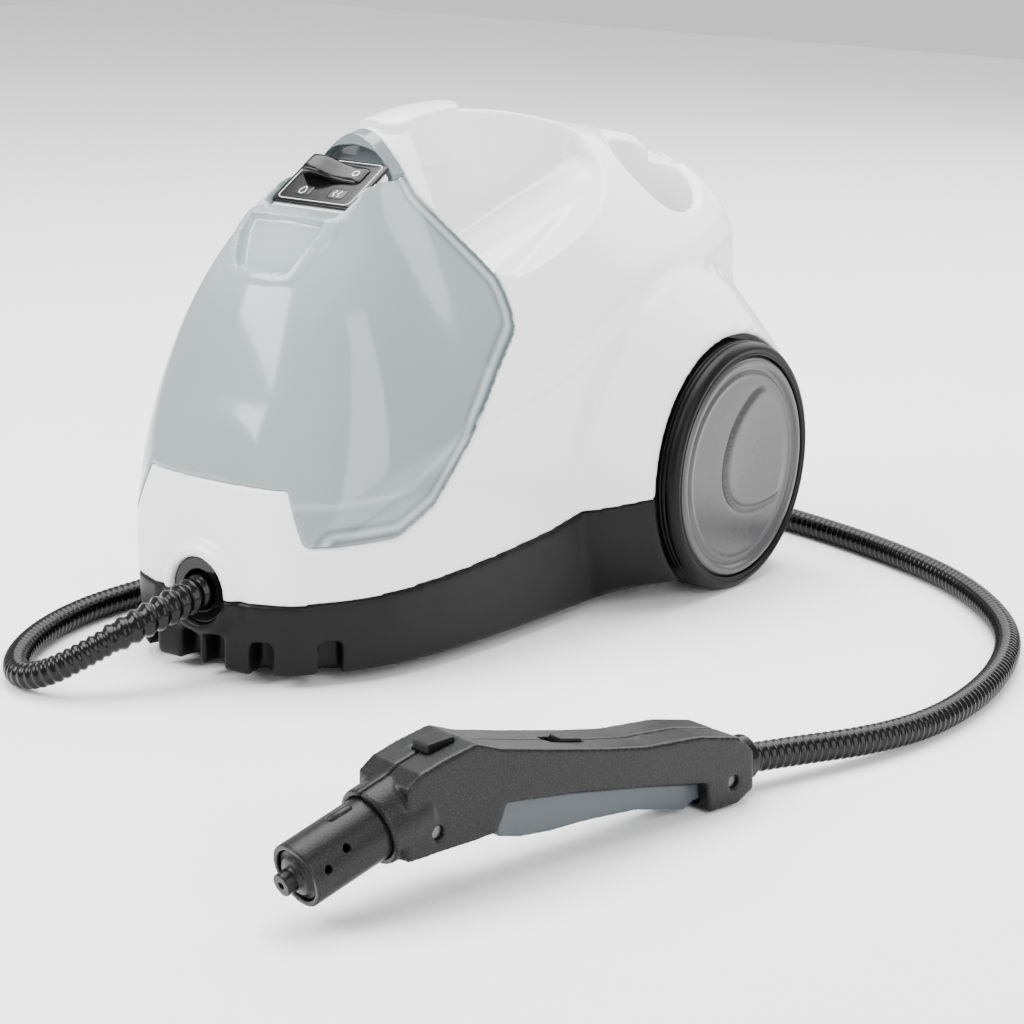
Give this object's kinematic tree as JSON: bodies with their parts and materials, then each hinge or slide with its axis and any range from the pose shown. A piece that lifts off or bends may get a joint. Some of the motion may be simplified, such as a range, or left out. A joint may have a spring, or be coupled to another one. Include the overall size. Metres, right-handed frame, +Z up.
{
  "type": "canister steam cleaner",
  "caption": "Household canister steam cleaner with lift-off tank, two big rear wheels, front castor, steam hose and pistol grip.",
  "frame": {"origin": "on the floor, in the middle plane, midway between the nose and the tail of the canister", "axes": "+Z up; -Y towards the nose, where the hose leaves; +X towards the side that the gun lies on"},
  "size_m": [0.4947, 0.6729, 0.2725],
  "materials": {
    "shell_white": "gloss",
    "base_black": "satin",
    "tank_clear": "gloss",
    "panel_dark": "gloss",
    "rocker_clear": "gloss",
    "lamp_clear": "gloss",
    "tyre": "matte",
    "cap_grey": "satin",
    "collar_gloss": "gloss",
    "hose_black": "satin",
    "gun_black": "satin",
    "trigger_grey": "satin",
    "brass_black": "satin",
    "inner_plastic": "matte",
    "rubber_black": "matte",
    "steel": "satin",
    "boiler_metal": "satin",
    "brass_fitting": "satin",
    "tube_clear": "satin",
    "board_green": "satin"
  },
  "bodies": {
    "root": {"axle_clips": "steel", "base_pan": "base_black", "base_screws": "steel", "boiler_bolts": "steel", "boiler_cradle": "steel", "boiler_drum": "boiler_metal", "boiler_gasket": "rubber_black", "boiler_lid": "boiler_metal", "boiler_pipe": "brass_fitting", "carry_grip": "shell_white", "console_bezel": "rocker_clear", "control_board": "board_green", "control_panel": "panel_dark", "feed_tube": "tube_clear", "gun_barrel": "gun_black", "gun_left_shell": "gun_black", "gun_right_shell": "gun_black", "gun_screws": "steel", "gun_switch": "inner_plastic", "gun_tube": "tube_clear", "heating_element": "steel", "hose_collar": "collar_gloss", "hose_end_collar": "hose_black", "hose_sleeve": "hose_black", "mains_gland": "rubber_black", "pressure_tube": "tube_clear", "safety_valve": "brass_fitting", "status_lamps": "lamp_clear", "steam_hose": "hose_black", "steam_nozzle": "brass_black", "steam_pipe": "brass_fitting", "steam_valve": "brass_fitting", "switch_body": "inner_plastic", "tank_dock": "inner_plastic", "thermostats": "inner_plastic", "trigger_pin": "steel", "trigger_spring": "steel", "upper_shell": "shell_white", "water_pump": "inner_plastic", "wheel_axles": "steel", "wheel_spacers": "inner_plastic"},
    "tank": {"water_tank": "tank_clear", "tank_valve_seat": "inner_plastic", "tank_valve_spring": "steel", "filler_plug": "tube_clear"},
    "tank_poppet": {"tank_valve": "inner_plastic"},
    "rocker": {"rocker_switch": "panel_dark"},
    "right_wheel": {"right_tyre": "tyre", "right_wheel_rim": "base_black", "right_hub_cap": "cap_grey"},
    "left_wheel": {"left_tyre": "tyre", "left_wheel_rim": "base_black", "left_hub_cap": "cap_grey"},
    "castor_yoke": {"castor_fork": "base_black", "castor_pin": "steel"},
    "castor_roller": {"castor_wheel": "tyre"},
    "gun_trigger": {"trigger": "trigger_grey"},
    "gun_button": {"release_button": "gun_black"},
    "gun_slider": {"lock_slider": "gun_black"}
  },
  "joints": [
    {"name": "right_wheel_spin", "type": "hinge", "parent": "root", "child": "right_wheel", "pos_m": [0.1, 0.1175, 0.0697], "axis": [1, 0, 0], "continuous": true},
    {"name": "left_wheel_spin", "type": "hinge", "parent": "root", "child": "left_wheel", "pos_m": [-0.1, 0.1175, 0.0697], "axis": [1, 0, 0], "continuous": true},
    {"name": "castor_swivel", "type": "hinge", "parent": "root", "child": "castor_yoke", "pos_m": [0, -0.118, 0.03], "axis": [0, 0, 1], "continuous": true},
    {"name": "castor_spin", "type": "hinge", "parent": "castor_yoke", "child": "castor_roller", "pos_m": [0, -0.109, 0.011], "axis": [1, 0, 0], "continuous": true},
    {"name": "power_rocker", "type": "hinge", "parent": "root", "child": "rocker", "pos_m": [0, -0.08222, 0.23777], "axis": [0, 0.866, 0.5], "range_deg": [-14, 0]},
    {"name": "tank_lift", "type": "slide", "parent": "root", "child": "tank", "axis": [0, -0.6, 0.8], "range_m": [0, 0.12]},
    {"name": "tank_valve_lift", "type": "slide", "parent": "tank", "child": "tank_poppet", "axis": [0, 0, 1], "range_m": [0, 0.003], "stiffness_N_per_m": 400, "springref_m": -0.002, "deforming": ["tank_valve_spring"]},
    {"name": "trigger_squeeze", "type": "hinge", "parent": "root", "child": "gun_trigger", "pos_m": [0.28992, -0.18678, 0.009], "axis": [-0.9789, 0.2045, 0], "range_deg": [0, 4], "stiffness_Nm_per_rad": 6, "springref_deg": -4.58, "deforming": ["trigger_spring"]},
    {"name": "button_press", "type": "slide", "parent": "root", "child": "gun_button", "axis": [0, 0, -1], "range_m": [0, 0.0025], "stiffness_N_per_m": 300, "springref_m": -0.002},
    {"name": "lock_slide", "type": "slide", "parent": "root", "child": "gun_slider", "axis": [-0.1998, -0.9564, 0.213], "range_m": [0, 0.006]}
  ]
}
